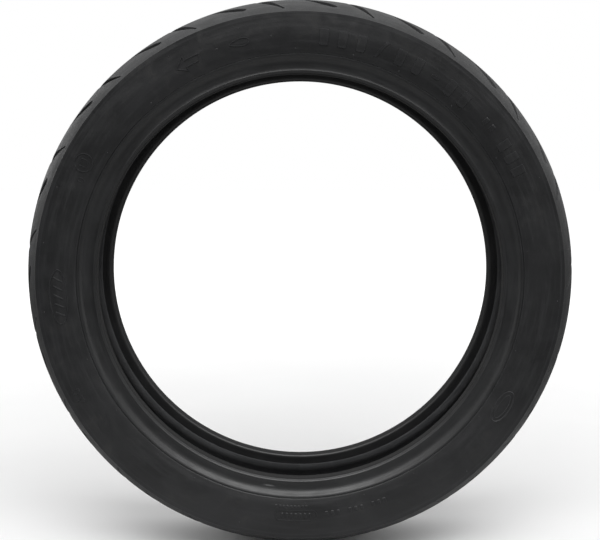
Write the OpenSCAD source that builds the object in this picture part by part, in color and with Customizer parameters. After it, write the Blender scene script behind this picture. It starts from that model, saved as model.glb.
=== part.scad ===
// Motorcycle tyre of size 130/70-16: nested solids of revolution about the axle,
// from the tread in to the liner and down to the two steel beads.
// The axle lies along Y, Z is up, and the origin is the centre of the wheel.
// The right-hand side of the tyre faces -Y.

/* [Size] */
// Outside diameter over the crown, bare and uninflated
outer_d = 561; // [559:0.5:565]
// Diameter of the straight bead seat
seat_d = 405.6; // [405.2:0.1:406]
// Width over the widest part of the two sidewalls
section_w = 123.8; // [122:0.2:126]
// Width between the two sharp edges of the tread
tread_w = 120; // [117:0.5:121]
// How far the tread edges lie below the crown
crown_drop = 18.1; // [17.5:0.1:19]

/* [Tread] */
// Number of groove pairs round each half of the tread
pitches = 19; // [12:1:24]
// Turn of the whole pattern about the axle, in degrees
tread_phase = 11.5; // [0:0.1:19]
// Depth of the grooves
groove_depth = 5.2; // [3:0.1:5.6]
// Width of the long grooves
long_w = 7; // [4:0.5:9]
// Width of the short grooves
short_w = 8; // [5:0.5:10]

/* [Layers] */
// Thickness of the tread moulding at the crown
cap_t = 7; // [6.5:0.1:8]
// Thickness of the rubber under the tread
base_t = 1.5; // [1:0.1:2]
// Thickness of one breaker ply
breaker_t = 1; // [0.8:0.05:1.2]
// Thickness of one carcass ply
ply_t = 0.9; // [0.7:0.05:1]
// Thickness of the airtight liner
liner_t = 1.2; // [1:0.1:1.5]
// Thickness of the chafer strip round the bead
chafer_t = 0.7; // [0.5:0.05:0.8]
// Height on the carcass arc, in degrees, where the outer ply's turn-up ends
turnup_outer_a = 100; // [96:1:104]
// Height on the carcass arc, in degrees, where the inner ply's turn-up ends
turnup_inner_a = 108; // [106:1:112]

/* [Bead] */
// Diameter of one steel bead wire
wire_d = 0.96; // [0.8:0.02:1.04]
// Distance between the centres of neighbouring bead wires
wire_pitch = 1.1; // [1.08:0.01:1.12]
// Thickness of the fabric wrapped round the bead
wrap_t = 0.6; // [0.4:0.05:0.7]

/* [Hidden] */
$fn = 144;

outer_r = outer_d / 2;
seat_r = seat_d / 2;
half_w = section_w / 2;

// ---- the carcass line ------------------------------------------------------
// Every layer follows one line in the half section, given as [radius, width]:
// a crown arc, a side arc, a reverse arc down to the bead, a U round the bead,
// and the turn-up that runs back up the outside until it meets the side arc.
// d is the distance from the line, positive on its outer side.
side_R = 22;
rev_R = 9;
a2 = 150;      // where the side arc meets the reverse arc
corner_R = 3.2;
floor_w = 1.4; // flat of the U under the bead
wall_h = 3;    // straight of the U outside the bead
tail_t = 0.25; // thin tail of the apex, between the ply and its turn-up

line_r = outer_r - cap_t - base_t - 2 * breaker_t;
c2 = [seat_r + 36.94, 34.12];
c2_k = c2[0] - line_r;
crown_R = (side_R * side_R - c2_k * c2_k - c2[1] * c2[1]) / (2 * (c2_k + side_R));
c1 = [line_r - crown_R, 0];
a1 = atan2(c2[1], crown_R + c2_k);                 // where the crown arc meets the side arc
c3 = c2 + (side_R + rev_R) * [cos(a2), sin(a2)];
bead_t = c3[1] - rev_R;                            // inner wall of the U
bead_r = seat_r + 2 * ply_t + chafer_t + 1.3;      // bottom of the U
bead_t2 = bead_t + 2 * corner_R + floor_w;         // outer wall of the U
turn_r = bead_r + corner_R + wall_h;
dr = c2[0] - turn_r;
dt = bead_t2 - c2[1];
meet_R = side_R + tail_t;
turn_R = (dr * dr + dt * dt - meet_R * meet_R) / (2 * (meet_R - dt));
turn_c = [turn_r, bead_t2 + turn_R];
beta = atan2(dr, turn_c[1] - c2[1]);
a_meet = 90 + beta;                                // where the turn-up meets the side arc

// Angles of the shared points, so that neighbouring layers meet face to face
A1 = [0, 0.16 * a1, 0.32 * a1, 0.48 * a1, 0.63 * a1, 0.78 * a1, 0.88 * a1, 0.955 * a1, a1];
A2 = [33, 40, 46, 52, 60, 70, 80, 90, turnup_outer_a, turnup_inner_a, a_meet, 130, 139, a2];
A3 = [133, 118, 104, 90];
B5 = [270, 240, 210, 180];
B7 = [150, 120, 90];
F9 = [0, 0.3, 0.55, 0.8, 1];                       // shares of beta
chafer_k = 2;                                      // the chafer ends at F9[chafer_k]

function p1(a, d) = c1 + (crown_R + d) * [cos(a), sin(a)];
function p2(a, d) = c2 + (side_R + d) * [cos(a), sin(a)];
function p12(a, d) = a <= a1 ? p1(a, d) : p2(a, d);
function p3(b, d) = c3 - (rev_R - d) * [cos(b), sin(b)];
function p5(g, d) = [bead_r + corner_R, bead_t + corner_R] + (corner_R - d) * [cos(g), sin(g)];
function p7(g, d) = [bead_r + corner_R, bead_t2 - corner_R] + (corner_R - d) * [cos(g), sin(g)];
function p9(f, d) = turn_c + (turn_R + d) * [sin(f * beta), -cos(f * beta)];

function rev(v) = [for (i = [len(v) - 1 : -1 : 0]) v[i]];
function flip(v) = [for (p = v) [p[0], -p[1]]];
function tail(v) = [for (i = [1 : len(v) - 1]) v[i]];

// The line from the crown to the top of the bead, its U, and its turn-up
function upper(d) = concat([for (a = A1) p1(a, d)], [for (a = A2) p2(a, d)], [for (b = A3) p3(b, d)]);
function u_bend(d) = concat([for (g = B5) p5(g, d)], [for (g = B7) p7(g, d)]);
function turnup(d) = [for (f = F9) p9(f, d)];
function turnup_top(d, a_end) = [for (i = [len(A2) - 1 : -1 : 0]) if (A2[i] < a_meet && A2[i] >= a_end) p2(A2[i], tail_t - d)];
function ply_line(d, a_end) = concat(upper(d), u_bend(d), turnup(d), turnup_top(d, a_end));

// ---- outer surface ---------------------------------------------------------
edge_r = outer_r - crown_drop;
edge_t = tread_w / 2;
top_R = (edge_t * edge_t + crown_drop * crown_drop) / (2 * crown_drop);
top_a = asin(edge_t / top_R);
skirt = [edge_r - 4.5, half_w - 1];                // where the tread edge meets the sidewall
wide_r = seat_r + 43;                              // radius of the widest ring
rim_line = [seat_r + 19.5, half_w - 3.9];

function top_arc(R, aa) = [for (a = aa) [outer_r - top_R + R * cos(a), R * sin(a)]];
function side_out(r) = r < wide_r
    ? half_w - (half_w - rim_line[1]) * pow((wide_r - r) / (wide_r - rim_line[0]), 2)
    : half_w - (half_w - skirt[1]) * pow((r - wide_r) / (skirt[0] - wide_r), 2);

wedge_a = 52;                                      // the shoulder wedge's foot
lip = p2(33, 2.5);                                 // inner end of the joint under the tread edge
wedge_mid = p2(46, 2);

module ring(pts) {
    rotate([90, 0, 0]) rotate_extrude() polygon(pts);
}

// One side's node: the right-hand one faces -Y, the left-hand one is its mirror
module on_side(s) {
    if (s == "right") children();
    else mirror([0, 1, 0]) children();
}

// ---- tread -----------------------------------------------------------------
// A slot that is cut radially through the skin of the tread at one angle
module slot_cutter(turn, len, wid, off_c, off_t, slant) {
    rotate([0, turn, 0]) translate([off_c, -off_t, outer_r - 30]) rotate([0, 0, slant])
        linear_extrude(40) union() {
            square([wid, len], center = true);
            translate([0, len / 2]) circle(d = wid, $fn = 24);
            translate([0, -len / 2]) circle(d = wid, $fn = 24);
        }
}

module side_slots() {
    for (k = [0 : pitches - 1]) {
        slot_cutter(tread_phase + k * 360 / pitches, 42, long_w, 1, 29, 32);
        slot_cutter(tread_phase + (k + 0.462) * 360 / pitches, 31, short_w, 11.5, 34.6, 55);
    }
}

module tread_cap() {
    skin = [for (i = [-8 : 8]) i * (top_a - 0.6) / 8];
    full = [for (i = [-10 : 10]) i * top_a / 10];
    under = concat([lip], [for (i = [7 : -1 : 0]) p1(A1[i], base_t + 2 * breaker_t)]);
    color("#3b3c3e") difference() {
        ring(concat(top_arc(top_R, full), [skirt], under, tail(rev(flip(under))),
                    [[skirt[0], -skirt[1]]]));
        intersection() {
            ring(concat(top_arc(top_R + 4, skin), rev(top_arc(top_R - groove_depth, skin))));
            union() {
                side_slots();
                rotate([0, 180 / pitches, 0]) mirror([0, 1, 0]) side_slots();
            }
        }
    }
}

module tread_base() {
    t2 = 2 * breaker_t;
    under = concat([lip, p1(A1[6], breaker_t), p1(A1[5], breaker_t)],
                   [for (i = [5 : -1 : 0]) p1(A1[i], t2)]);
    over = [for (i = [0 : 7]) p1(A1[i], t2 + base_t)];
    color("#2f3032") ring(concat(rev(flip(tail(over))), over, under, tail(rev(flip(under)))));
}

module crown_strip(d0, d1, last) {
    a = [for (i = [0 : last]) A1[i]];
    over = [for (x = a) p1(x, d1)];
    under = [for (x = a) p1(x, d0)];
    ring(concat(rev(flip(tail(over))), over, rev(under), flip(tail(under))));
}

module breaker_upper() { color("#b9a274") crown_strip(breaker_t, 2 * breaker_t, 5); }
module breaker_lower() { color("#a8906a") crown_strip(0, breaker_t, 6); }

// ---- carcass ---------------------------------------------------------------
module full_ply(d0, d1, a_end) {
    over = ply_line(d0, a_end);
    under = ply_line(d1, a_end);
    ring(concat(rev(flip(tail(over))), over, rev(under), flip(tail(under))));
}

module carcass_ply_outer() { color("#9c8a63") full_ply(0, -ply_t, turnup_outer_a); }
module carcass_ply_inner() { color("#8c7b58") full_ply(-ply_t, -2 * ply_t, turnup_inner_a); }

module inner_liner() {
    over = upper(-2 * ply_t);
    under = upper(-2 * ply_t - liner_t);
    color("#262729") ring(concat(rev(flip(tail(over))), over, rev(under), flip(tail(under))));
}

// ---- sides -----------------------------------------------------------------
module shoulder_wedge() {
    inside = [for (i = [3 : -1 : 0]) p2(A2[i], 0)];
    ring(concat([p1(A1[6], 0), p1(A1[6], breaker_t), lip, wedge_mid], inside, [p1(a1, 0), p1(A1[7], 0)]));
}

module sidewall() {
    n = 12;
    outside = [for (i = [0 : n]) let (r = skirt[0] + (rim_line[0] - skirt[0]) * i / n) [r, side_out(r)]];
    over_plies = concat(
        [for (a = A2) if (a >= wedge_a && a <= turnup_outer_a) p2(a, 0)],
        [for (a = A2) if (a >= turnup_outer_a && a <= turnup_inner_a) p2(a, tail_t + ply_t)],
        [for (a = A2) if (a >= turnup_inner_a && a < a_meet) p2(a, tail_t + 2 * ply_t)],
        [for (i = [len(F9) - 1 : -1 : chafer_k]) p9(F9[i], -2 * ply_t)]);
    ring(concat(outside, [p9(F9[chafer_k], -2 * ply_t - chafer_t)], rev(over_plies), [wedge_mid, lip]));
}

module chafer() {
    function run(d) = concat([p3(90, d)], u_bend(d), [for (i = [0 : chafer_k]) p9(F9[i], d)]);
    ring(concat(run(-2 * ply_t), rev(run(-2 * ply_t - chafer_t))));
}

// Rubber that meets the rim: bulge, hollow, heel ridge, straight seat and toe
module rim_strip() {
    d = -2 * ply_t - chafer_t;
    inside = concat([p3(90, d)], u_bend(d), [for (i = [0 : chafer_k]) p9(F9[i], d)]);
    h = half_w;
    outside = [rim_line, [seat_r + 17.8, h - 4.3], [seat_r + 14.7, h - 6.3], [seat_r + 11.2, h - 8.3],
        [seat_r + 8.2, h - 9.2], [seat_r + 6.2, h - 9.5], [seat_r + 4.6, h - 9.5], [seat_r + 3.5, h - 8.8],
        [seat_r + 2.4, h - 9.3], [seat_r + 1.6, h - 9.9], [seat_r + 0.6, h - 10.4], [seat_r, h - 11.3],
        [seat_r, bead_t - 1], [seat_r + 0.4, bead_t - 2.2], [seat_r + 1.8, bead_t - 3],
        p3(90, -2 * ply_t - liner_t)];
    ring(concat(outside, inside));
}

// ---- bead ------------------------------------------------------------------
core_top = turn_r;                                 // top of the wrapped bundle

function u_shape(d) = concat([[core_top - d, bead_t + d]], u_bend(d), [[core_top - d, bead_t2 - d]]);

module bead_wrap() {
    rotate([90, 0, 0]) rotate_extrude() difference() {
        polygon(u_shape(0));
        polygon(u_shape(wrap_t));
    }
}

// Wires of one bundle, as [row, place along the row]
rows = [4, 5, 5, 4];
function wires() = [for (j = [0 : len(rows) - 1]) for (i = [0 : rows[j] - 1])
    [bead_r + 1.55 + j * wire_pitch, (bead_t + bead_t2) / 2 + (i - (rows[j] - 1) / 2) * wire_pitch]];

module bead_rubber() {
    rotate([90, 0, 0]) rotate_extrude() difference() {
        polygon(u_shape(wrap_t));
        for (w = wires()) translate(w) circle(d = wire_d, $fn = 32);
    }
}

module bead_wires() {
    rotate([90, 0, 0]) rotate_extrude() for (w = wires()) translate(w) circle(d = wire_d, $fn = 32);
}

module apex() {
    inside = concat([for (a = A2) if (a >= turnup_outer_a) p2(a, 0)], [for (b = A3) if (b > 90) p3(b, 0)]);
    outside = concat([for (f = F9) if (f > 0) p9(f, 0)], turnup_top(0, turnup_outer_a));
    ring(concat(inside, [[core_top, bead_t], [core_top, bead_t2]], outside));
}

tread_cap();
tread_base();
breaker_upper();
breaker_lower();
carcass_ply_outer();
carcass_ply_inner();
inner_liner();
color("#38393b") on_side("right") sidewall();  // right_sidewall
color("#38393b") on_side("left") sidewall();  // left_sidewall
color("#2b2c2e") on_side("right") shoulder_wedge();  // right_shoulder_wedge
color("#2b2c2e") on_side("left") shoulder_wedge();  // left_shoulder_wedge
color("#303133") on_side("right") rim_strip();  // right_rim_strip
color("#303133") on_side("left") rim_strip();  // left_rim_strip
color("#6e6452") on_side("right") chafer();  // right_chafer
color("#6e6452") on_side("left") chafer();  // left_chafer
color("#1f2022") on_side("right") apex();  // right_apex
color("#1f2022") on_side("left") apex();  // left_apex
color("#7d7361") on_side("right") bead_wrap();  // right_bead_wrap
color("#7d7361") on_side("left") bead_wrap();  // left_bead_wrap
color("#1a1b1c") on_side("right") bead_rubber();  // right_bead_rubber
color("#1a1b1c") on_side("left") bead_rubber();  // left_bead_rubber
color("#b08d57") on_side("right") bead_wires();  // right_bead_wires
color("#b08d57") on_side("left") bead_wires();  // left_bead_wires
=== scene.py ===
import math
import random

import bpy
import numpy as np
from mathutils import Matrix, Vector
from mathutils.geometry import delaunay_2d_cdt


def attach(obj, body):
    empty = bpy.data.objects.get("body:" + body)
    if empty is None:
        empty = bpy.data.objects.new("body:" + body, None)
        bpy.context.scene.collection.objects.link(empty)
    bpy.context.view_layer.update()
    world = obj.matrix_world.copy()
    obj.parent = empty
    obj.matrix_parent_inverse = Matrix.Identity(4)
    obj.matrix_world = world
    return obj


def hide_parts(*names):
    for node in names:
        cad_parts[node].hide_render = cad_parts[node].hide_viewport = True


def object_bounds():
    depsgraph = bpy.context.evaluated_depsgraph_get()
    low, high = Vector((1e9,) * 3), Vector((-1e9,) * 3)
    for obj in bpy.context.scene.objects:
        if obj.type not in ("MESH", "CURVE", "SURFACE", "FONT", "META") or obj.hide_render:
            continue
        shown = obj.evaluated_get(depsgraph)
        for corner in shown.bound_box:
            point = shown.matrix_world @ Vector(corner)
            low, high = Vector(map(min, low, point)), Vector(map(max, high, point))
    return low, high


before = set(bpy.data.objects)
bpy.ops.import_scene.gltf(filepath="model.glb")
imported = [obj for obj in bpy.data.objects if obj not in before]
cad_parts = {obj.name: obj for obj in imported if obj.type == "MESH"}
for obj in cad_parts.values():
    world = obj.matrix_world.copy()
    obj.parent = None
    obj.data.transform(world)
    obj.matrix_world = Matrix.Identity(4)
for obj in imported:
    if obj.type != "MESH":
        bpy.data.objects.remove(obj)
CAD_BOX = [list(v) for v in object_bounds()]

MM = 0.001
TAU = 2.0 * math.pi
scene = bpy.context.scene

# ------------------------------------------------------------------ camera
# Nearly square on to the right-hand side (-Y), a little above the axle.
CAM_D, CAM_EL, CAM_F, CAM_DROP = 1.1139, math.radians(5.978), 1067.0, 4.815
cam_data = bpy.data.cameras.new("view_camera")
cam = bpy.data.objects.new("view_camera", cam_data)
scene.collection.objects.link(cam)
cam.location = (0.0, -CAM_D * math.cos(CAM_EL), CAM_D * math.sin(CAM_EL))
cam.rotation_euler = (math.pi / 2 - CAM_EL, 0.0, 0.0)
cam_data.sensor_fit = "HORIZONTAL"
cam_data.sensor_width = 36.0
cam_data.lens = CAM_F / 600.0 * 36.0
cam_data.shift_y = CAM_DROP / 600.0
cam_data.clip_start = 0.01
cam_data.clip_end = 100.0
scene.camera = cam
scene.view_settings.view_transform = "Standard"

# ------------------------------------------------------------- dimensions, mm
# Section coordinates are (radius, width), width positive towards -Y.
SEAT = 202.8
HALF = 61.9
R_OUT = 280.5
EDGE_R, EDGE_T = 262.4, 60.0
DROP = R_OUT - EDGE_R
TOP_R = (EDGE_T ** 2 + DROP ** 2) / (2 * DROP)
TOP_A = math.asin(EDGE_T / TOP_R)
TOP_C = R_OUT - TOP_R
SKIN = 0.25                       # the tread skin lies this far inside the CAD crown
RV = TOP_R - SKIN                 # radius of the visible crown arc
SINK = 0.75                       # the side skin lies this far inside the CAD side
WIDE_R, SKIRT_R, RIM_R = SEAT + 43.0, EDGE_R - 4.5, SEAT + 19.5
PITCHES = 19
PHASE = 11.5                      # degrees, clockwise from the top as seen from -Y
PITCH = TAU * R_OUT / PITCHES

LINE_R = R_OUT - 10.5              # the carcass line at the crown
C2 = (SEAT + 36.94, 34.12)
C2_K = C2[0] - LINE_R
CROWN_R = (22.0 ** 2 - C2_K ** 2 - C2[1] ** 2) / (2 * (C2_K + 22.0))
C1 = (LINE_R - CROWN_R, 0.0)
A_J = math.degrees(math.atan2(C2[1], CROWN_R + C2_K))     # where the crown arc meets the side arc
C3 = (C2[0] + 31.0 * math.cos(math.radians(150)), C2[1] + 31.0 * math.sin(math.radians(150)))
BEAD_T = C3[1] - 9.0


def p1(a, d):
    a = math.radians(a)
    return (C1[0] + (CROWN_R + d) * math.cos(a), (CROWN_R + d) * math.sin(a))


def p2(a, d):
    a = math.radians(a)
    return (C2[0] + (22.0 + d) * math.cos(a), C2[1] + (22.0 + d) * math.sin(a))


def p3(b, d):
    b = math.radians(b)
    return (C3[0] - (9.0 - d) * math.cos(b), C3[1] - (9.0 - d) * math.sin(b))


def side_t(r):
    """Width of the CAD side at radius r."""
    if r < WIDE_R:
        return HALF - 3.9 * ((WIDE_R - r) / (WIDE_R - RIM_R)) ** 2
    return HALF - 1.0 * ((r - WIDE_R) / (SKIRT_R - WIDE_R)) ** 2


def skin_t(r):
    """Width of the visible side at radius r: the CAD side, sunk a little, and flatter up to the tread edge."""
    if r < WIDE_R:
        return side_t(r) - SINK
    return HALF - SINK


def skin_slope(r):
    return (skin_t(r + 0.05) - skin_t(r - 0.05)) / 0.1


def place(r, t, th):
    """Section point at th radians clockwise from the top, seen from -Y, in metres."""
    return (r * math.sin(th) * MM, -t * MM, r * math.cos(th) * MM)


# ------------------------------------------------------------- mesh helpers
def make_object(name, verts, faces, mats, mat_index=None, sharp=32.0, smooth=True):
    mesh = bpy.data.meshes.new(name)
    mesh.from_pydata([tuple(v) for v in verts], [], [tuple(int(i) for i in f) for f in faces])
    mesh.update()
    for m in mats:
        mesh.materials.append(m)
    if mat_index is not None:
        mesh.polygons.foreach_set("material_index", np.asarray(mat_index, dtype=np.int32))
    if smooth:
        mesh.polygons.foreach_set("use_smooth", np.ones(len(mesh.polygons), dtype=bool))
    import bmesh
    bm = bmesh.new()
    bm.from_mesh(mesh)
    bmesh.ops.recalc_face_normals(bm, faces=bm.faces)
    bm.to_mesh(mesh)
    bm.free()
    mesh.set_sharp_from_angle(angle=math.radians(sharp))
    mesh.update()
    obj = bpy.data.objects.new(name, mesh)
    scene.collection.objects.link(obj)
    return obj


def spline(ctrl, step):
    """Centripetal Catmull-Rom through the control points, sampled about every step mm."""
    pts = [np.array(p, float) for p in ctrl]
    pts = [2 * pts[0] - pts[1]] + pts + [2 * pts[-1] - pts[-2]]
    out = [tuple(pts[1])]
    for i in range(1, len(pts) - 2):
        a, b, c, d = pts[i - 1:i + 3]
        t0 = 0.0
        t1 = t0 + math.sqrt(np.linalg.norm(b - a)) + 1e-9
        t2 = t1 + math.sqrt(np.linalg.norm(c - b)) + 1e-9
        t3 = t2 + math.sqrt(np.linalg.norm(d - c)) + 1e-9
        n = max(1, int(round(np.linalg.norm(c - b) / step)))
        for k in range(1, n + 1):
            t = t1 + (t2 - t1) * k / n
            a1 = (t1 - t) / (t1 - t0) * a + (t - t0) / (t1 - t0) * b
            a2 = (t2 - t) / (t2 - t1) * b + (t - t1) / (t2 - t1) * c
            a3 = (t3 - t) / (t3 - t2) * c + (t - t2) / (t3 - t2) * d
            b1 = (t2 - t) / (t2 - t0) * a1 + (t - t0) / (t2 - t0) * a2
            b2 = (t3 - t) / (t3 - t1) * a2 + (t - t1) / (t3 - t1) * a3
            q = (t2 - t) / (t2 - t1) * b1 + (t - t1) / (t2 - t1) * b2
            out.append((float(q[0]), float(q[1])))
    return out


def revolve(loop, n, shift=None, side=1.0):
    """Closed solid of revolution of a closed section loop. shift(k, th) moves point k along its section normal, in mm."""
    m = len(loop)
    pts = np.array(loop, float)
    nxt, prv = np.roll(pts, -1, axis=0), np.roll(pts, 1, axis=0)
    tan = nxt - prv
    tan /= np.linalg.norm(tan, axis=1)[:, None] + 1e-12
    nrm = np.stack([tan[:, 1], -tan[:, 0]], axis=1)
    area = 0.5 * np.sum(pts[:, 0] * nxt[:, 1] - nxt[:, 0] * pts[:, 1])
    if area < 0:
        nrm = -nrm
    verts = []
    for j in range(n):
        th = TAU * j / n
        if shift is None:
            ring = pts
        else:
            off = np.array([shift(k, th) for k in range(m)])
            ring = pts + nrm * off[:, None]
        s, c = math.sin(th), math.cos(th)
        for r, t in ring:
            verts.append((r * s * MM, -side * t * MM, r * c * MM))
    faces = []
    for j in range(n):
        a, b = j * m, ((j + 1) % n) * m
        for k in range(m):
            k2 = (k + 1) % m
            faces.append((a + k, a + k2, b + k2, b + k))
    return verts, faces


# ------------------------------------------------------------- node helpers
class Nodes:
    def __init__(self, name):
        self.mat = bpy.data.materials.new(name)
        self.mat.use_nodes = True
        self.t = self.mat.node_tree
        self.t.nodes.clear()
        self.out = self.t.nodes.new("ShaderNodeOutputMaterial")
        self.bsdf = self.t.nodes.new("ShaderNodeBsdfPrincipled")
        self.link(self.bsdf.outputs[0], self.out.inputs[0])

    def new(self, kind, **vals):
        n = self.t.nodes.new(kind)
        for k, v in vals.items():
            setattr(n, k, v)
        return n

    def link(self, a, b):
        self.t.links.new(a, b)

    def math(self, op, a, b=None, c=None, clamp=False):
        n = self.new("ShaderNodeMath", operation=op, use_clamp=clamp)
        for i, x in enumerate((a, b, c)):
            if x is None:
                continue
            if isinstance(x, (int, float)):
                n.inputs[i].default_value = float(x)
            else:
                self.link(x, n.inputs[i])
        return n.outputs[0]

    def coords(self):
        """(object coordinates, along the circle in metres, radius, width along the axle)"""
        tc = self.new("ShaderNodeTexCoord")
        sep = self.new("ShaderNodeSeparateXYZ")
        self.link(tc.outputs["Object"], sep.inputs[0])
        x, y, z = sep.outputs
        ang = self.math("ARCTAN2", x, z)
        r2 = self.math("ADD", self.math("MULTIPLY", x, x), self.math("MULTIPLY", z, z))
        rad = self.math("SQRT", r2)
        along = self.math("MULTIPLY", ang, 0.25)
        return tc.outputs["Object"], along, rad, y, ang

    def combine(self, x, y, z):
        n = self.new("ShaderNodeCombineXYZ")
        for i, v in enumerate((x, y, z)):
            if isinstance(v, (int, float)):
                n.inputs[i].default_value = float(v)
            else:
                self.link(v, n.inputs[i])
        return n.outputs[0]

    def noise(self, vec, scale, detail=4.0, rough=0.55, distort=0.0):
        n = self.new("ShaderNodeTexNoise")
        n.inputs["Scale"].default_value = scale
        n.inputs["Detail"].default_value = detail
        n.inputs["Roughness"].default_value = rough
        n.inputs["Distortion"].default_value = distort
        self.link(vec, n.inputs["Vector"])
        return n.outputs["Fac"]

    def voronoi(self, vec, scale, feature="F1"):
        n = self.new("ShaderNodeTexVoronoi", feature=feature)
        n.inputs["Scale"].default_value = scale
        self.link(vec, n.inputs["Vector"])
        return n.outputs["Distance"]

    def ramp(self, fac, stops):
        n = self.new("ShaderNodeValToRGB")
        el = n.color_ramp.elements
        while len(el) < len(stops):
            el.new(0.5)
        for e, (p, c) in zip(el, stops):
            e.position = p
            e.color = c if len(c) == 4 else (*c, 1.0)
        self.link(fac, n.inputs[0])
        return n.outputs[0]

    def range(self, fac, a, b, c, d, smooth=True):
        n = self.new("ShaderNodeMapRange")
        n.interpolation_type = "SMOOTHSTEP" if smooth else "LINEAR"
        self.link(fac, n.inputs[0])
        for i, v in zip((1, 2, 3, 4), (a, b, c, d)):
            n.inputs[i].default_value = v
        return n.outputs[0]

    def mix(self, fac, a, b):
        n = self.new("ShaderNodeMix", data_type="RGBA")
        if isinstance(fac, (int, float)):
            n.inputs[0].default_value = fac
        else:
            self.link(fac, n.inputs[0])
        for i, v in zip((6, 7), (a, b)):
            if isinstance(v, tuple):
                n.inputs[i].default_value = (*v, 1.0) if len(v) == 3 else v
            else:
                self.link(v, n.inputs[i])
        return n.outputs[2]

    def bump(self, height, strength, distance, normal=None):
        n = self.new("ShaderNodeBump")
        n.inputs["Strength"].default_value = strength
        n.inputs["Distance"].default_value = distance
        self.link(height, n.inputs["Height"])
        if normal is not None:
            self.link(normal, n.inputs["Normal"])
        return n.outputs[0]

    def wave(self, value, period):
        """0..1 sine of a length, with the given period in metres."""
        return self.math("MULTIPLY_ADD", self.math("SINE", self.math("MULTIPLY", value, TAU / period)), 0.5, 0.5)


def rubber(name, dark, light, dust, rough=(0.42, 0.62), spec=0.35, grain=0.35, hatch=False, dust_amount=0.5, streaks=0.0, seat=False, near_bead=False):
    """Moulded black rubber: cloudy colour, dull and shiny patches, fine grain, a little dust."""
    n = Nodes(name)
    obj, along, rad, wid, ang = n.coords()
    cloud = n.noise(obj, 14.0, 5.0, 0.6, 0.4)
    patch = n.noise(obj, 55.0, 6.0, 0.65, 0.8)
    fine = n.noise(obj, 900.0, 3.0, 0.5)
    smear_v = n.combine(n.math("MULTIPLY", along, 18.0), n.math("MULTIPLY", rad, 240.0), n.math("MULTIPLY", wid, 240.0))
    smear = n.noise(smear_v, 1.0, 5.0, 0.6)
    base = n.mix(n.range(cloud, 0.36, 0.64, 0.0, 1.0), dark, light)
    base = n.mix(n.math("MULTIPLY", n.range(smear, 0.48, 0.68, 0.0, 1.0), 0.6), base, tuple(c * 1.35 for c in light))
    dusty = n.math("MULTIPLY", n.range(patch, 0.52, 0.78, 0.0, 1.0), n.range(cloud, 0.40, 0.65, 0.0, 1.0))
    base = n.mix(n.math("MULTIPLY", dusty, dust_amount), base, dust)
    geo = n.new("ShaderNodeNewGeometry")
    edge = n.range(geo.outputs["Pointiness"], 0.505, 0.56, 0.0, 1.0)
    base = n.mix(n.math("MULTIPLY", edge, 0.35), base, tuple(min(1.0, c * 2.2) for c in light))
    if seat:                          # painted shade: the base of the bead is painted nearly black for the shade in the bore, its inner face a little greyer
        on = n.range(rad, 0.20290, 0.20400, 1.0, 0.0)
        inner = n.range(n.math("ABSOLUTE", wid), 0.0384, 0.0400, 1.0, 0.0)
        # painted shade: the seat band is mixed almost to black
        base = n.mix(n.math("MULTIPLY", on, 0.75), base, (0.0022, 0.0022, 0.0024))
        base = n.mix(n.math("MULTIPLY", inner, 0.85), base, (0.0125, 0.0125, 0.0130))
    if near_bead:                     # painted shade: blacker where the liner runs up to the toe, evening out the lit band beside the bead
        # painted shade: the liner colour is mixed towards black below about 219 mm radius
        base = n.mix(n.math("MULTIPLY", n.range(rad, 0.2080, 0.2190, 1.0, 0.0), 0.7), base, (0.0230, 0.0235, 0.0250))
    n.link(base, n.bsdf.inputs["Base Color"])
    r = n.range(n.math("ADD", n.math("MULTIPLY", patch, 0.5), n.math("MULTIPLY", smear, 0.5)), 0.35, 0.68, rough[0], rough[1])
    if seat:                          # it carries a dull cloth grain
        r = n.math("ADD", n.math("MULTIPLY", r, n.math("SUBTRACT", 1.0, on)), n.math("MULTIPLY", on, 0.92))
    n.link(r, n.bsdf.inputs["Roughness"])
    n.bsdf.inputs["Specular IOR Level"].default_value = spec
    b = n.bump(n.noise(obj, 2600.0, 2.0, 0.5), grain, 0.00006)
    if seat:
        weave = n.math("MULTIPLY", n.wave(n.math("ADD", along, wid), 0.0011), n.wave(n.math("SUBTRACT", along, wid), 0.0011))
        b = n.bump(n.math("MULTIPLY", weave, on), 0.8, 0.0002, b)
    b = n.bump(n.noise(obj, 420.0, 4.0, 0.6), 0.30, 0.00010, b)
    b = n.bump(patch, 0.25, 0.00035, b)
    if hatch:
        w1 = n.wave(n.math("ADD", along, n.math("MULTIPLY", wid, 0.55)), 0.00115)
        w2 = n.wave(n.math("SUBTRACT", along, n.math("MULTIPLY", wid, 0.9)), 0.0019)
        k = n.range(n.math("ABSOLUTE", wid), 0.030, 0.041, 0.12, 1.0)
        h = n.math("MULTIPLY", n.math("ADD", w1, n.math("MULTIPLY", w2, 0.5)), k)
        b = n.bump(h, 0.55, 0.00022, b)
    if streaks:
        rings = n.wave(rad, 0.0011)
        b = n.bump(n.math("MULTIPLY", rings, n.range(smear, 0.4, 0.7, 0.2, 1.0)), streaks, 0.00010, b)
    n.link(b, n.bsdf.inputs["Normal"])
    return n.mat


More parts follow.
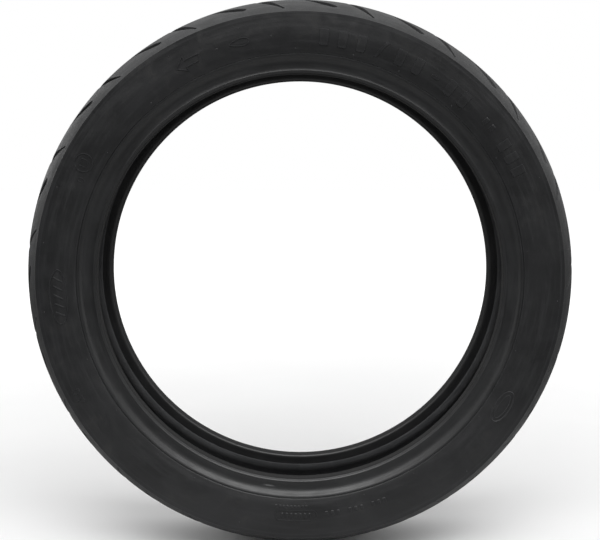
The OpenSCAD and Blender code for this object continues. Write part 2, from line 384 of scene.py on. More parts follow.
def cord_cloth(name, rubber_col, cord_col, angle, period, rough=0.75):
    """Rubberised cord sheet: parallel cords at an angle to the circle, showing through a thin skim."""
    n = Nodes(name)
    obj, along, rad, wid, ang = n.coords()
    s = n.math("ADD", n.math("MULTIPLY", along, math.sin(angle)), n.math("MULTIPLY", wid, math.cos(angle)))
    s = n.math("ADD", s, n.math("MULTIPLY", rad, 0.35))
    cords = n.wave(s, period)
    twist = n.wave(n.math("ADD", n.math("MULTIPLY", along, 1.0), n.math("MULTIPLY", wid, -1.4)), period * 2.3)
    fuzz = n.noise(obj, 700.0, 4.0, 0.6)
    cloud = n.noise(obj, 30.0, 4.0, 0.6)
    k = n.math("MULTIPLY", n.range(cords, 0.30, 0.85, 0.0, 1.0), n.range(fuzz, 0.25, 0.75, 0.55, 1.0))
    k = n.math("MULTIPLY", k, n.range(cloud, 0.3, 0.7, 0.65, 1.0))
    n.link(n.mix(k, rubber_col, cord_col), n.bsdf.inputs["Base Color"])
    n.link(n.range(fuzz, 0.3, 0.7, rough - 0.1, rough + 0.12), n.bsdf.inputs["Roughness"])
    b = n.bump(cords, 0.9, 0.0004)
    b = n.bump(twist, 0.35, 0.0001, b)
    b = n.bump(fuzz, 0.3, 0.0001, b)
    n.link(b, n.bsdf.inputs["Normal"])
    return n.mat


def bronze_wire(name):
    n = Nodes(name)
    obj, along, rad, wid, ang = n.coords()
    tarnish = n.noise(obj, 120.0, 5.0, 0.6)
    scratch_v = n.combine(n.math("MULTIPLY", along, 30.0), n.math("MULTIPLY", rad, 6000.0), n.math("MULTIPLY", wid, 6000.0))
    scratch = n.noise(scratch_v, 1.0, 3.0, 0.5)
    n.link(n.mix(n.range(tarnish, 0.35, 0.7, 0.0, 1.0), (0.62, 0.44, 0.24), (0.40, 0.30, 0.19)), n.bsdf.inputs["Base Color"])
    n.bsdf.inputs["Metallic"].default_value = 1.0
    n.link(n.range(scratch, 0.3, 0.7, 0.22, 0.42), n.bsdf.inputs["Roughness"])
    n.link(n.bump(scratch, 0.3, 0.00005), n.bsdf.inputs["Normal"])
    return n.mat


TREAD = rubber("tread_rubber_look", (0.0140, 0.0143, 0.0150), (0.0246, 0.0251, 0.0262), (0.054, 0.052, 0.049),
               rough=(0.46, 0.64), spec=0.42, grain=0.45, hatch=True, dust_amount=0.35)
SIDE = rubber("sidewall_rubber_look", (0.0044, 0.0046, 0.0052), (0.0104, 0.0107, 0.0116), (0.027, 0.026, 0.0245),
              rough=(0.33, 0.48), spec=0.56, grain=0.35, dust_amount=0.50, streaks=0.18)
STRIP = rubber("rim_strip_rubber_look", (0.0046, 0.0048, 0.0053), (0.0088, 0.0092, 0.0099), (0.019, 0.0182, 0.0173),
               rough=(0.33, 0.46), spec=0.58, grain=0.30, dust_amount=0.30, streaks=0.25, seat=True)
# the liner's light grey is partly its own lighter rubber and partly painted light, standing in for light inside the
# shaded cavity
LINER = rubber("liner_rubber_look", (0.068, 0.0690, 0.0715), (0.094, 0.0950, 0.0975), (0.112, 0.110, 0.105),
               rough=(0.60, 0.80), spec=0.22, grain=0.40, dust_amount=0.30, near_bead=True)
FILLER = rubber("inner_rubber_look", (0.0080, 0.0080, 0.0085), (0.0150, 0.0150, 0.0155), (0.028, 0.027, 0.026),
                rough=(0.50, 0.70), spec=0.30, grain=0.50, dust_amount=0.30)
PLY_A = cord_cloth("ply_outer_look", (0.020, 0.019, 0.017), (0.30, 0.245, 0.150), math.radians(52), 0.00125)
PLY_B = cord_cloth("ply_inner_look", (0.018, 0.017, 0.015), (0.27, 0.220, 0.135), math.radians(-52), 0.00125)
BREAK_A = cord_cloth("breaker_upper_look", (0.022, 0.021, 0.019), (0.38, 0.315, 0.205), math.radians(63), 0.00150)
BREAK_B = cord_cloth("breaker_lower_look", (0.020, 0.019, 0.017), (0.34, 0.280, 0.180), math.radians(-63), 0.00150)
CHAFER = cord_cloth("chafer_look", (0.022, 0.020, 0.017), (0.15, 0.130, 0.100), math.radians(45), 0.00090, 0.8)
WRAP = cord_cloth("bead_wrap_look", (0.024, 0.021, 0.017), (0.19, 0.165, 0.125), math.radians(-45), 0.00090, 0.8)
WIRE = bronze_wire("bead_wire_look")

# ------------------------------------------------------------------ tread
# One pitch of the pattern is meshed flat, in (u, v): u along the circle at the
# crown's radius, v along the crown's arc. The sheared coordinate u - lean(v)
# keeps each groove inside its own pitch.
V_EDGE = RV * TOP_A - 0.7
V_SEEN = 27.3                     # where the skyline crosses the tread, seen from the camera
DEPTH = 5.2


def lean(v):
    v = abs(v)
    return 0.30 * v + 0.0045 * v * v


def smooth01(x):
    x = min(1.0, max(0.0, x))
    return x * x * (3 - 2 * x)


def groove_long(u0):
    """Centre line and half width of the long swept groove: fine start, thin pointed end."""
    pts = []
    n = 40
    for i in range(n + 1):
        f = i / n
        v = 5.0 + (56.5 - 5.0) * f
        w = 1.6 + 3.4 * smooth01(f / 0.34) - 3.7 * smooth01((f - 0.52) / 0.48)
        pts.append((u0 + lean(v), v, w))
    return pts


def groove_short(u0):
    """The short groove: leans further over, swells towards its blunt outer end."""
    pts = []
    n = 26
    for i in range(n + 1):
        f = i / n
        v = 21.0 + (46.5 - 21.0) * f
        u = u0 + 1.45 * (v - V_SEEN)
        w = 2.0 + 3.2 * smooth01(f / 0.72) - 1.2 * smooth01((f - 0.80) / 0.20)
        pts.append((u, v, w))
    return pts


def loops_of(path, mirror):
    """Nested outlines of a groove: rim, chamfer, foot of the wall, floor. Same number of points in each."""
    pts = np.array(path, float)
    c = pts[:, :2]
    tan = np.gradient(c, axis=0)
    tan /= np.linalg.norm(tan, axis=1)[:, None]
    nor = np.stack([-tan[:, 1], tan[:, 0]], axis=1)
    out = []
    for inset, floor_k in ((0.0, 1.0), (0.35, 0.88), (0.80, 0.74), (1.8, 0.40)):
        w = np.maximum(pts[:, 2] - inset, pts[:, 2] * floor_k)
        left, right = c + nor * w[:, None], c - nor * w[:, None]
        ring = [tuple(p) for p in left]
        a0 = math.atan2(nor[-1][1], nor[-1][0])
        for k in range(1, 9):
            a = a0 - math.pi * k / 9
            ring.append((c[-1][0] + w[-1] * math.cos(a), c[-1][1] + w[-1] * math.sin(a)))
        ring += [tuple(p) for p in right[::-1]]
        a0 = math.atan2(-nor[0][1], -nor[0][0])
        for k in range(1, 9):
            a = a0 - math.pi * k / 9
            ring.append((c[0][0] + w[0] * math.cos(a), c[0][1] + w[0] * math.sin(a)))
        out.append(ring)
    if mirror:
        out = [[(u, -v) for u, v in ring] for ring in out]
    return out


def inside(poly, p):
    x, y = p
    hit = False
    j = len(poly) - 1
    for i in range(len(poly)):
        xi, yi = poly[i]
        xj, yj = poly[j]
        if (yi > y) != (yj > y) and x < (xj - xi) * (y - yi) / (yj - yi) + xi:
            hit = not hit
        j = i
    return hit


def build_tread():
    u_long = 23.0
    u_seen = u_long + lean(V_SEEN)
    u_short = u_seen + math.radians(8.75) * R_OUT
    grooves = []
    for path, mirror, extra in ((groove_long(u_long), False, 0.0), (groove_short(u_short), False, 0.0),
                                (groove_long(u_long + PITCH / 2), True, 0.0),
                                (groove_short(u_short - PITCH / 2), True, 0.0)):
        grooves.append((loops_of(path, mirror), path, mirror))
    nu, nv = 34, 46
    pts2, depth, edges, index = [], [], [], {}

    def add(u, v, d=0.0):
        pts2.append((u, v))
        depth.append(d)
        return len(pts2) - 1

    outlines = [[(u - lean(v), v) for u, v in g[0][0]] for g in grooves]
    for i in range(nu + 1):
        for j in range(nv + 1):
            up, v = PITCH * i / nu, -V_EDGE + 2 * V_EDGE * j / nv
            border = i in (0, nu) or j in (0, nv)
            if not border:
                near = False
                for poly in outlines:
                    if inside(poly, (up, v)):
                        near = True
                        break
                    d = min((q[0] - up) ** 2 + (q[1] - v) ** 2 for q in poly)
                    if d < 0.9 ** 2:
                        near = True
                        break
                if near:
                    continue
            add(up, v)
    corner = {}
    for poly in outlines:
        ids = [add(u, v) for u, v in poly]
        corner[len(corner)] = ids
        edges += [(ids[k], ids[(k + 1) % len(ids)]) for k in range(len(ids))]
    res = delaunay_2d_cdt([Vector(p) for p in pts2], edges, [], 0, 1e-7)
    verts2 = [(float(p[0]), float(p[1])) for p in res[0]]
    orig = res[3]
    back = {}
    for k, o in enumerate(orig):
        for q in o:
            back[q] = k
    tris = []
    for f in res[2]:
        cx = sum(verts2[i][0] for i in f) / len(f)
        cy = sum(verts2[i][1] for i in f) / len(f)
        if any(inside(poly, (cx, cy)) for poly in outlines):
            continue
        tris.append(tuple(f))
    # tile: list of (u, v, depth), and faces
    tile = [(u + lean(v), v, 0.0) for u, v in verts2]
    faces = list(tris)
    kind = [0] * len(tris)
    for g, (loops, path, mirror) in enumerate(grooves):
        ids = [[back[q] for q in corner[g]]]
        n_path = len(path)
        m = len(loops[0])

        def station(k):
            if k < n_path:
                return k
            if k < n_path + 8:
                return n_path - 1
            if k < 2 * n_path + 8:
                return n_path - 1 - (k - n_path - 8)
            return 0

        def floor_depth(k):
            f = station(k) / (n_path - 1)
            d = DEPTH * (0.55 + 0.45 * smooth01(f / 0.12)) * (0.50 + 0.50 * smooth01((1 - f) / 0.30))
            if n_path > 30:                       # the long groove carries a wear bar
                d -= 1.6 * (smooth01((f - 0.40) / 0.02) - smooth01((f - 0.50) / 0.02))
            return d

        for lv, frac in ((1, 0.07), (2, 0.80), (3, 1.0)):
            row = []
            for k, (u, v) in enumerate(loops[lv]):
                tile.append((u, v, floor_depth(k) * frac if lv > 1 else 0.36))
                row.append(len(tile) - 1)
            ids.append(row)
        for lv in range(3):
            a, b = ids[lv], ids[lv + 1]
            for k in range(m):
                k2 = (k + 1) % m
                faces.append((a[k], a[k2], b[k2], b[k]))
                kind.append(1)
        fl = ids[3]
        left = fl[:n_path]
        right = fl[n_path + 8:2 * n_path + 8][::-1]
        for k in range(n_path - 1):
            faces.append((left[k], left[k + 1], right[k + 1], right[k]))
            kind.append(1)
        faces.append(tuple(fl[n_path - 1:n_path + 9]))
        kind.append(1)
        faces.append(tuple([fl[2 * n_path + 7]] + fl[2 * n_path + 8:] + [fl[0]]))
        kind.append(1)

    # all the pitches round the circle
    verts, all_faces, mats, seen = [], [], [], {}
    off = math.radians(PHASE) - u_seen / R_OUT

    def put(u, v, d, p):
        a = v / RV
        key = (round(((u + p * PITCH) % (PITCH * PITCHES)) * 1000.0), round(v * 1000.0), round(d * 1000.0))
        if key[0] == round(PITCH * PITCHES * 1000.0):
            key = (0, key[1], key[2])
        if key in seen:
            return seen[key]
        th = (u + p * PITCH) / R_OUT + off
        r, t = TOP_C + (RV - d) * math.cos(a), (RV - d) * math.sin(a)
        verts.append(place(r, t, th))
        seen[key] = len(verts) - 1
        return seen[key]

    for p in range(PITCHES):
        ids = [put(u, v, d, p) for u, v, d in tile]
        for f, kd in zip(faces, kind):
            q = [ids[i] for i in f]
            if len(set(q)) >= 3:
                all_faces.append(tuple(q))
                mats.append(0)

    # the rest of the section: shoulder edge, side face and underside, as rings
    a_e = V_EDGE / RV
    e0 = (TOP_C + RV * math.cos(a_e), RV * math.sin(a_e))
    top_pt = (TOP_C + RV * math.cos(TOP_A), RV * math.sin(TOP_A))
    rr = EDGE_R - 0.95
    e3 = (rr, skin_t(rr))
    right = [
        (0.62 * e0[0] + 0.30 * top_pt[0] + 0.08 * e3[0], 0.62 * e0[1] + 0.30 * top_pt[1] + 0.08 * e3[1]),
        (0.25 * e0[0] + 0.50 * top_pt[0] + 0.25 * e3[0], 0.25 * e0[1] + 0.50 * top_pt[1] + 0.25 * e3[1]),
        (0.08 * e0[0] + 0.30 * top_pt[0] + 0.62 * e3[0], 0.08 * e0[1] + 0.30 * top_pt[1] + 0.62 * e3[1]),
        e3]
    n_edge = len(right)
    for k in range(1, 6):
        r = rr + (SKIRT_R - rr) * k / 5
        right.append((r, skin_t(r)))
    n_side = len(right)
    lip = p2(33, 2.5)
    mid = (0.5 * (right[-1][0] + lip[0]), 0.5 * (right[-1][1] + lip[1]))
    right += [mid, lip]
    right += [p1(k * A_J, 3.5) for k in (0.955, 0.84, 0.72, 0.60, 0.48, 0.36, 0.24, 0.12)]
    rings = right + [p1(0, 3.5)] + [(r, -t) for r, t in right[::-1]]
    n_ring = nu * PITCHES
    sheet = []
    for j, (r, t) in enumerate(rings):
        row = []
        for i in range(n_ring):
            th = (PITCH * i / nu + lean(V_EDGE)) / R_OUT + off
            verts.append(place(r, t, th))
            row.append(len(verts) - 1)
        sheet.append(row)

    def border(sign):
        row = []
        for i in range(n_ring):
            p, k = divmod(i, nu)
            row.append(put(PITCH * k / nu + lean(V_EDGE), sign * V_EDGE, 0.0, p))
        return row

    sheet = [border(1)] + sheet + [border(-1)]
    last = len(sheet) - 1
    for j in range(last):
        a, b = sheet[j], sheet[j + 1]
        side_zone = n_edge <= j < n_side + 1 or n_edge <= last - 1 - j < n_side + 1
        for i in range(n_ring):
            i2 = (i + 1) % n_ring
            all_faces.append((a[i], a[i2], b[i2], b[i]))
            mats.append(1 if side_zone else 0)
    obj = make_object("tread_skin", verts, all_faces, [TREAD, SIDE], mats, sharp=28.0)
    return obj


tread = build_tread()

# ------------------------------------------------------------------ sides
def sidewall_loop():
    outer = []
    n = 64
    for i in range(n + 1):
        r = SKIRT_R + (RIM_R + 0.6 - SKIRT_R) * i / n
        outer.append((r, skin_t(r)))
    foot = (220.9, 52.9)
    inner = [foot, (222.5, 53.2), (224.5, 54.2), (227.0, 55.9), (230.0, 57.4), (232.6, 58.1), (235.9, 57.3),
             (236.1, 56.1), (239.7, 56.12), (247.2, 54.9), (253.2, 51.5), (256.4, 51.4), p2(33, 2.5)]
    return outer, inner


def side_wave(k, th):
    """Slow unevenness of a hand-built side, in mm."""
    return 0.05 * math.sin(3 * th + 0.4) * math.sin(0.08 * k) + 0.035 * math.sin(7 * th + 1.3 + 0.05 * k)


def build_sidewall(name, side):
    outer, inner = sidewall_loop()
    loop = outer + inner
    n_out = len(outer)

    def shift(k, th):
        if k < 3 or k >= n_out - 2:
            return 0.0
        fade = smooth01((k - 2) / 8.0) * smooth01((n_out - 2 - k) / 8.0)
        return side_wave(k, th) * fade

    verts, faces = revolve(loop, 600, shift, side)
    return verts, faces


# ------------------------------------------------- raised marks on the sides
# Plain shapes only: rings, bars, blocks and arrows, none of them lettering.
class Marks:
    def __init__(self, side):
        self.side = side
        self.verts, self.faces = [], []

    def point(self, th0, rc, x, y, h):
        """x along the circle and y outwards, in mm from the mark's centre; h above the skin."""
        r = rc + y
        th = th0 + x / rc
        sl = skin_slope(r)
        k = 1.0 / math.sqrt(1 + sl * sl)
        rr, tt = r - sl * k * h, skin_t(r) + k * h
        s, c = math.sin(th * self.side), math.cos(th)
        return (rr * s * MM, -self.side * tt * MM, rr * c * MM)

    def strip(self, th0, rc, pts, closed=True, width=1.1, height=0.60, tilt=0.0):
        """A low rounded rib along a path."""
        p = np.array(pts, float)
        if tilt:
            ct, st = math.cos(tilt), math.sin(tilt)
            p = p @ np.array([[ct, st], [-st, ct]])
        n = len(p)
        if closed:
            tan = np.roll(p, -1, axis=0) - np.roll(p, 1, axis=0)
        else:
            tan = np.gradient(p, axis=0)
        tan /= np.linalg.norm(tan, axis=1)[:, None] + 1e-12
        nor = np.stack([-tan[:, 1], tan[:, 0]], axis=1)
        sec = [(-0.5 * width - 0.30, -0.20), (-0.5 * width, 0.10), (-0.32 * width, height), (0.0, height * 1.06),
               (0.32 * width, height), (0.5 * width, 0.10), (0.5 * width + 0.30, -0.20)]
        m = len(sec)
        base = len(self.verts)
        for i in range(n):
            for off, h in sec:
                q = p[i] + nor[i] * off
                self.verts.append(self.point(th0, rc, q[0], q[1], h))
        cnt = n if closed else n - 1
        for i in range(cnt):
            a, b = base + i * m, base + ((i + 1) % n) * m
            for k in range(m):
                k2 = (k + 1) % m
                self.faces.append((a + k, a + k2, b + k2, b + k))
        if not closed:
            self.faces.append(tuple(base + k for k in range(m)))
            self.faces.append(tuple(base + (n - 1) * m + k for k in range(m))[::-1])

    def pad(self, th0, rc, pts, height=0.32, tilt=0.0):
        """A raised plate with bevelled sides, filled by rings towards its middle."""
        p = np.array(pts, float)
        if tilt:
            ct, st = math.cos(tilt), math.sin(tilt)
            p = p @ np.array([[ct, st], [-st, ct]])
        c = p.mean(axis=0)
        size = np.abs(p - c).max()
        levels = [(1.0 + 0.30 / size, -0.20), (1.0, height * 0.6), (1.0 - 0.25 / size, height), (0.5, height), ]
        n = len(p)
        base = len(self.verts)
        for k, h in levels:
            for q in p:
                w = c + (q - c) * k
                self.verts.append(self.point(th0, rc, w[0], w[1], h))
        self.verts.append(self.point(th0, rc, c[0], c[1], height))
        mid = len(self.verts) - 1
        self.verts.append(self.point(th0, rc, c[0], c[1], -0.2))
        low = len(self.verts) - 1
        for lv in range(len(levels) - 1):
            for i in range(n):
                i2 = (i + 1) % n
                a, b = base + lv * n, base + (lv + 1) * n
                self.faces.append((a + i, a + i2, b + i2, b + i))
        a = base + (len(levels) - 1) * n
        for i in range(n):
            i2 = (i + 1) % n
            self.faces.append((a + i, a + i2, mid))
            self.faces.append((base + i2, base + i, low))

    def nub(self, th0, rc, radius=0.55, height=0.34):
        self.pad(th0, rc, [(radius * math.cos(TAU * k / 10), radius * math.sin(TAU * k / 10)) for k in range(10)], height)


def round_box(w, h, rad, n=6):
    pts = []
    for cx, cy, a0 in ((w / 2 - rad, h / 2 - rad, 0), (-w / 2 + rad, h / 2 - rad, 90),
                       (-w / 2 + rad, -h / 2 + rad, 180), (w / 2 - rad, -h / 2 + rad, 270)):
        for k in range(n + 1):
            a = math.radians(a0 + 90 * k / n)
            pts.append((cx + rad * math.cos(a), cy + rad * math.sin(a)))
    out = []
    for i in range(len(pts)):
        a, b = np.array(pts[i]), np.array(pts[(i + 1) % len(pts)])
        k = max(1, int(np.linalg.norm(b - a) / 1.5))
        for j in range(k):
            out.append(tuple(a + (b - a) * j / k))
    return out


def oval(w, h, n=48):
    return [(w / 2 * math.cos(TAU * k / n), h / 2 * math.sin(TAU * k / n)) for k in range(n)]


def line(x0, y0, x1, y1, step=1.5):
    k = max(2, int(math.hypot(x1 - x0, y1 - y0) / step))
    return [(x0 + (x1 - x0) * i / k, y0 + (y1 - y0) * i / k) for i in range(k + 1)]


def poly(pts, step=1.5):
    out = []
    for i in range(len(pts)):
        out += line(*pts[i], *pts[(i + 1) % len(pts)], step)[:-1]
    return out


def deg(a):
    return math.radians(a)


def front_marks():
    m = Marks(1.0)
    rc = 238.0
    # row of tall outlined blocks where the size stands
    for a in (5.6, 10.0, 14.5, 24.1, 28.6, 37.7, 42.0):
        m.pad(deg(a), rc, round_box(8.8, 15.6, 1.6), 0.60)
    m.pad(deg(19.2), rc, poly([(-5.4, -8.0), (-2.4, -8.0), (5.4, 8.0), (2.4, 8.0)]), 0.60)
    m.pad(deg(33.4), rc, round_box(8.0, 3.0, 1.0), 0.55)
    # small pair and the three blocks after it
    m.pad(deg(49.1), 239.0, round_box(4.4, 7.2, 1.0), 0.45)
    m.pad(deg(51.2), 239.0, round_box(4.4, 7.2, 1.0), 0.45)
    for a in (56.2, 59.6, 63.0):
        m.pad(deg(a), 239.0, round_box(7.8, 13.6, 1.4), 0.55)
    # broad faint oval, low on the right
    m.strip(deg(122.0), 239.0, oval(34.0, 15.0, 64), width=1.4, height=0.32)
    m.strip(deg(122.0), 239.0, oval(26.0, 8.4, 56), width=0.9, height=0.26)
    # rows of small blocks at the bottom, and the framed plate
    for k, a in enumerate(np.arange(159.0, 174.6, 1.45)):
        if k in (3, 7):
            continue
        m.pad(deg(a), 237.6, round_box(3.1, 4.6, 0.7, 3), 0.42)
    m.strip(deg(181.0), 238.6, round_box(42.0, 10.2, 5.0, 10), width=0.9, height=0.50)
    for k in range(7):
        m.pad(deg(181.0), 238.6, [(x + (k - 3) * 4.6, y) for x, y in round_box(2.4, 5.2, 0.6, 3)], 0.42)
    for k in range(9):
        m.pad(deg(178.4 + 0.95 * k), 229.6, round_box(2.2, 2.4, 0.5, 3), 0.30)
    # small pair near the shoulder, low on the left
    m.strip(deg(241.4), 249.5, poly([(-3.0, -3.4), (3.0, -3.4), (0.0, 3.8)]), width=0.8, height=0.42)
    m.strip(deg(243.6), 249.5, round_box(4.6, 6.8, 1.6), width=0.8, height=0.42)
    # oval cartouche on the left
    m.strip(deg(266.2), 239.6, oval(54.0, 17.0, 80), width=1.2, height=0.60)
    for k in range(5):
        x = (k - 2) * 8.6
        m.strip(deg(266.2), 239.6, line(x - 2.4, -4.2, x + 2.4, 4.2), closed=False, width=1.6, height=0.50)
    # ring with a boss, upper left
    m.strip(deg(298.8), 241.0, oval(17.5, 17.5, 48), width=1.2, height=0.60)
    m.strip(deg(298.8), 241.0, round_box(7.2, 7.2, 1.6), width=0.9, height=0.45)
    m.strip(deg(294.9), 236.5, round_box(3.6, 5.4, 1.0), width=0.7, height=0.38)
    # the arrow for the direction of rolling, anticlockwise on this side, and its tail
    m.strip(deg(333.2), 239.0, poly([(-13.5, -1.0), (-3.5, 7.2), (-3.5, 3.0), (12.5, 3.0), (9.5, -3.4), (-3.5, -3.4), (-3.5, -7.6)]),
            width=1.0, height=0.60)
    m.pad(deg(340.3), 239.0, oval(2.2, 2.2, 12), 0.30)
    m.strip(deg(345.8), 239.0, [(9.5 * math.cos(TAU * k / 44), 3.4 * math.sin(TAU * k / 44) * (1 + 0.35 * math.cos(TAU * k / 44)))
                                for k in range(44)], width=1.0, height=0.52)
    m.pad(deg(353.2), 239.5, oval(1.8, 1.8, 12), 0.30)
    # cut-off vent nubs
    rng = random.Random(7)
    for k in range(26):
        a = 360.0 * k / 26 + rng.uniform(-3.0, 3.0)
        m.nub(deg(a), rng.choice((225.8, 226.4, 252.6, 255.2)), 0.5, 0.30)
    return m


def back_marks():
    m = Marks(-1.0)
    rc = 238.0
    for a in (5.6, 10.0, 14.5, 24.1, 28.6, 37.7, 42.0):
        m.pad(deg(a), rc, round_box(8.8, 15.6, 1.6), 0.60)
    m.pad(deg(19.2), rc, poly([(-5.4, -8.0), (-2.4, -8.0), (5.4, 8.0), (2.4, 8.0)]), 0.60)
    m.pad(deg(33.4), rc, round_box(8.0, 3.0, 1.0), 0.55)
    for a in (56.2, 59.6, 63.0):
        m.pad(deg(a), 239.0, round_box(7.8, 13.6, 1.4), 0.55)
    for k, a in enumerate(np.arange(150.0, 172.0, 1.45)):
        if k in (4, 9):
            continue
        m.pad(deg(a), 237.6, round_box(3.1, 4.6, 0.7, 3), 0.42)
    m.strip(deg(208.0), 239.6, oval(54.0, 17.0, 80), width=1.2, height=0.60)
    for k in range(5):
        x = (k - 2) * 8.6
        m.strip(deg(208.0), 239.6, line(x - 2.4, -4.2, x + 2.4, 4.2), closed=False, width=1.6, height=0.50)
    m.strip(deg(300.0), 239.0, poly([(13.5, -1.0), (3.5, 7.2), (3.5, 3.0), (-12.5, 3.0), (-9.5, -3.4), (3.5, -3.4), (3.5, -7.6)]),
            width=1.0, height=0.60)
    rng = random.Random(11)
    for k in range(26):
        a = 360.0 * k / 26 + rng.uniform(-3.0, 3.0)
        m.nub(deg(a), rng.choice((225.8, 226.4, 252.6, 255.2)), 0.5, 0.30)
    return m


def side_object(name, side, marks):
    verts, faces = build_sidewall(name, side)
    base = len(verts)
    verts = verts + marks.verts
    faces = faces + [tuple(i + base for i in f) for f in marks.faces]
    return make_object(name, verts, faces, [SIDE], None, sharp=38.0)


right_side = side_object("right_side_skin", 1.0, front_marks())
left_side = side_object("left_side_skin", -1.0, back_marks())

# -------------------------------------------------------------- rim strips
S0 = skin_t(RIM_R + 0.6)
STRIP_OUT = spline([(RIM_R + 0.6, S0), (RIM_R + 0.25, S0 - 0.14), (RIM_R - 0.02, S0 - 0.46), (RIM_R - 0.30, S0 - 0.62),
                    (RIM_R - 0.58, S0 - 0.42), (RIM_R - 0.80, S0 - 0.18)], 0.14) \
    + spline([(RIM_R - 0.80, S0 - 0.18), (220.9, 57.26), (220.1, 57.02), (219.3, 56.62), (218.5, 56.04), (217.6, 55.28), (216.6, 54.48),
              (215.4, 53.72), (214.0, 53.10), (212.4, 52.66), (210.6, 52.42), (209.2, 52.30), (208.2, 52.27), (207.5, 52.29), (206.95, 52.36)], 0.45)[1:] \
    + spline([(206.95, 52.36), (206.62, 52.42), (206.30, 52.50), (205.98, 52.54), (205.66, 52.46), (205.34, 52.26), (205.02, 52.02), (204.70, 51.80)], 0.16)[1:] \
    + spline([(204.70, 51.80), (204.25, 51.64), (203.75, 51.34), (203.30, 50.92), (203.00, 50.40), (202.85, 49.90), (202.80, 49.30)], 0.28)[1:] \
    + [(202.8, 47.0), (202.8, 44.5), (202.8, 42.0), (202.8, 40.6)] \
    + spline([(202.80, 40.6), (202.86, 40.0), (203.02, 39.4), (203.36, 38.8), (203.95, 38.2), (204.85, 37.78), (206.0, 37.62), (209.0, 37.60)], 0.35)[1:] \
    + [(211.0, 37.6), (212.9, 37.6)]
STRIP_IN = [(212.9, 38.1), (209.8, 38.1), (206.9, 38.9), (204.9, 41.0), (204.1, 43.8), (204.1, 45.2), (204.9, 48.0),
            (206.9, 50.1), (209.8, 50.9), (215.9, 51.3), (220.4, 52.2)]


def build_strip(name, side):
    loop = STRIP_OUT + STRIP_IN
    n_out = len(STRIP_OUT)
    radii = [p[0] for p in loop]

    def shift(k, th):
        if k < 8 or k >= n_out:
            return 0.0
        r = radii[k]
        off = 0.0
        if r > 207.2:
            off += 0.06 * math.sin(5 * th + 0.8) * smooth01((r - 207.2) / 2.0) * smooth01((k - 8) / 6.0)
        if side > 0 and r > 207.2:
            d = (th - math.radians(188.6)) * 210.0
            off -= 0.55 * math.exp(-((d / 6.0) ** 4)) * math.exp(-(((r - 210.4) / 1.4) ** 4))
        return off

    verts, faces = revolve(loop, 720, shift, side)
    return make_object(name, verts, faces, [STRIP], None, sharp=40.0)


right_strip = build_strip("right_rim_strip_skin", 1.0)
left_strip = build_strip("left_rim_strip_skin", -1.0)

# ------------------------------------------------------------------- liner
def build_liner():
    half = [p1(a, -3.0) for a in np.linspace(0, A_J, 26)]
    half += [p2(a, -3.0) for a in np.linspace(A_J, 150, 38)[1:]]
    half += [p3(b, -3.0) for b in np.linspace(150, 90, 14)[1:]]
    inner = [(r, -t) for r, t in half[::-1]][:-1] + half
    back = [p1(a, -1.8) for a in np.linspace(0, A_J, 8)]
    back += [p2(a, -1.8) for a in np.linspace(A_J, 150, 16)[1:]]
    back += [p3(b, -1.8) for b in np.linspace(150, 90, 6)[1:]]
    outer = back[::-1] + [(r, -t) for r, t in back[1:]]
    loop = inner + outer
    n_in = len(inner)
    width = [p[1] for p in loop]

    def shift(k, th):
        if k >= n_in or k in (0, n_in - 1):
            return 0.0
        t = width[k]
        off = 0.0
        # low ribs left by the curing bladder: slanted on the sides, straight across the crown
        lean_th = 0.0022 * abs(t)
        q = ((th + lean_th) * 40.0 / TAU) % 1.0
        off += 0.22 * math.exp(-(((q - 0.5) * 22.0) ** 2)) * smooth01((54.0 - abs(t)) / 6.0)
        off += 0.16 * math.exp(-((abs(t) - 24.0) / 0.9) ** 2)
        return off

    verts, faces = revolve(loop, 960, shift, 1.0)
    return make_object("inner_liner_skin", verts, faces, [LINER], None, sharp=45.0)


liner = build_liner()

# ------------------------------------------------------- bodies and CAD nodes
for piece, node, slot in ((tread, "tread_cap", "tread_rubber"), (right_side, "right_sidewall", "sidewall_rubber"),
                          (left_side, "left_sidewall", "sidewall_rubber"), (right_strip, "right_rim_strip", "rim_strip_rubber"),
                          (left_strip, "left_rim_strip", "rim_strip_rubber"), (liner, "inner_liner", "liner_rubber")):
    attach(piece, "root")
    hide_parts(node)

LOOKS = {"tread_base": FILLER, "breaker_upper": BREAK_A, "breaker_lower": BREAK_B, "carcass_ply_outer": PLY_A, "carcass_ply_inner": PLY_B,
         "shoulder_wedge": FILLER, "chafer": CHAFER, "apex": FILLER, "bead_wrap": WRAP, "bead_rubber": FILLER, "bead_wires": WIRE}
for name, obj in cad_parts.items():
    key = name.replace("right_", "").replace("left_", "")
    if key in LOOKS:
        for i in range(len(obj.data.materials)):
            obj.data.materials[i] = LOOKS[key]

# ------------------------------------------------------------ floor and light
FLOOR_Z = CAD_BOX[0][2]
fm = Nodes("floor_look")
fobj, falong, frad, fwid, fang = fm.coords()
fn = fm.noise(fobj, 3.0, 3.0, 0.5)
floor_lp = fm.new("ShaderNodeLightPath")   # the bright sweep the camera sees throws little light back up
floor_away = fm.math("SQRT", fm.math("ADD", fm.math("MULTIPLY", frad, frad), fm.math("MULTIPLY", fwid, fwid)))
bounce = fm.mix(fm.range(floor_away, 0.33, 0.95, 1.0, 0.0), (0.14, 0.14, 0.14), (0.50, 0.50, 0.50))
fm.link(fm.mix(floor_lp.outputs["Is Camera Ray"], bounce, fm.mix(fm.range(fn, 0.3, 0.7, 0.0, 1.0), (0.86, 0.86, 0.86), (0.88, 0.88, 0.88))),
        fm.bsdf.inputs["Base Color"])
fm.bsdf.inputs["Emission Color"].default_value = (1.0, 1.0, 1.0, 1.0)
fm.link(fm.math("MULTIPLY", floor_lp.outputs["Is Camera Ray"], fm.range(floor_away, 0.50, 2.40, 0.0, 0.48)), fm.bsdf.inputs["Emission Strength"])
fm.bsdf.inputs["Roughness"].default_value = 0.9
fm.bsdf.inputs["Specular IOR Level"].default_value = 0.1
floor_mesh = bpy.data.meshes.new("floor")
s = 14.0
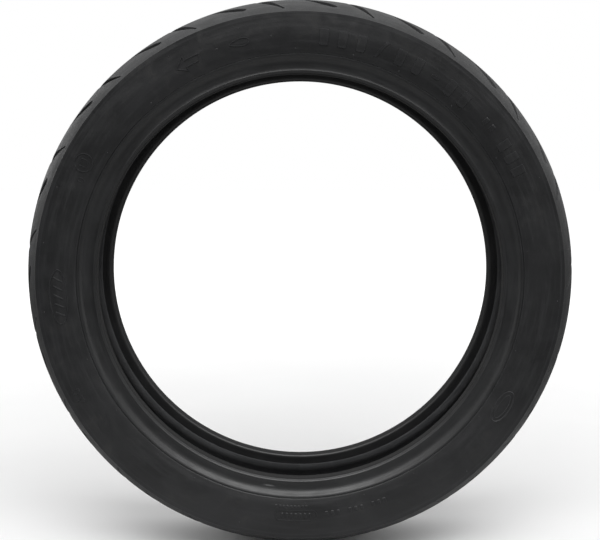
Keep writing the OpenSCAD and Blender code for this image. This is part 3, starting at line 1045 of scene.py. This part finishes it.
floor_mesh.from_pydata([(-s, -s, FLOOR_Z), (s, -s, FLOOR_Z), (s, s, FLOOR_Z), (-s, s, FLOOR_Z)], [], [(0, 1, 2, 3)])
floor_mesh.materials.append(fm.mat)
floor = bpy.data.objects.new("floor", floor_mesh)
scene.collection.objects.link(floor)

world = bpy.data.worlds.new("studio")
scene.world = world
world.use_nodes = True
wt = world.node_tree
wt.nodes.clear()
w_out = wt.nodes.new("ShaderNodeOutputWorld")
tc = wt.nodes.new("ShaderNodeTexCoord")
sep = wt.nodes.new("ShaderNodeSeparateXYZ")
wt.links.new(tc.outputs["Generated"], sep.inputs[0])
rampn = wt.nodes.new("ShaderNodeMapRange")
rampn.interpolation_type = "SMOOTHSTEP"
wt.links.new(sep.outputs[2], rampn.inputs[0])
rampn.inputs[1].default_value = 0.02
rampn.inputs[2].default_value = 0.62
rampn.inputs[3].default_value = 0.05
rampn.inputs[4].default_value = 0.80
bg_light = wt.nodes.new("ShaderNodeBackground")
bg_light.inputs[0].default_value = (1.0, 1.0, 1.0, 1.0)
wt.links.new(rampn.outputs[0], bg_light.inputs[1])
bg_seen = wt.nodes.new("ShaderNodeBackground")
bg_seen.inputs[0].default_value = (1.0, 1.0, 1.0, 1.0)
bg_seen.inputs[1].default_value = 1.0
lp = wt.nodes.new("ShaderNodeLightPath")
mixn = wt.nodes.new("ShaderNodeMixShader")
wt.links.new(lp.outputs["Is Camera Ray"], mixn.inputs[0])
wt.links.new(bg_light.outputs[0], mixn.inputs[1])
wt.links.new(bg_seen.outputs[0], mixn.inputs[2])
wt.links.new(mixn.outputs[0], w_out.inputs[0])


def area_light(name, loc, target, size_x, size_y, power):
    data = bpy.data.lights.new(name, "AREA")
    data.shape = "RECTANGLE"
    data.size, data.size_y = size_x, size_y
    data.energy = power
    obj = bpy.data.objects.new(name, data)
    obj.location = loc
    obj.rotation_euler = (Vector(target) - Vector(loc)).to_track_quat("-Z", "Y").to_euler()
    scene.collection.objects.link(obj)
    return obj


area_light("top_soft", (0.15, -1.35, 1.7), (0, 0, 0), 2.2, 1.2, 36.0)
area_light("side_right", (1.9, -0.5, 0.15), (0, 0, 0), 0.8, 1.4, 5.6)
area_light("side_left", (-1.9, -0.5, 0.15), (0, 0, 0), 0.8, 1.4, 4.8)
area_light("front_fill", (0.3, -2.2, 0.05), (0, 0, 0), 1.6, 0.7, 0.8)
area_light("back_right", (1.7, 1.9, 0.6), (0, 0, 0), 1.2, 1.0, 2.8)
area_light("back_left", (-1.7, 1.9, 0.6), (0, 0, 0), 1.2, 1.0, 5.0)
area_light("back_soft", (-0.1, 1.3, 1.6), (0, 0, 0.1), 1.8, 1.0, 1.2)
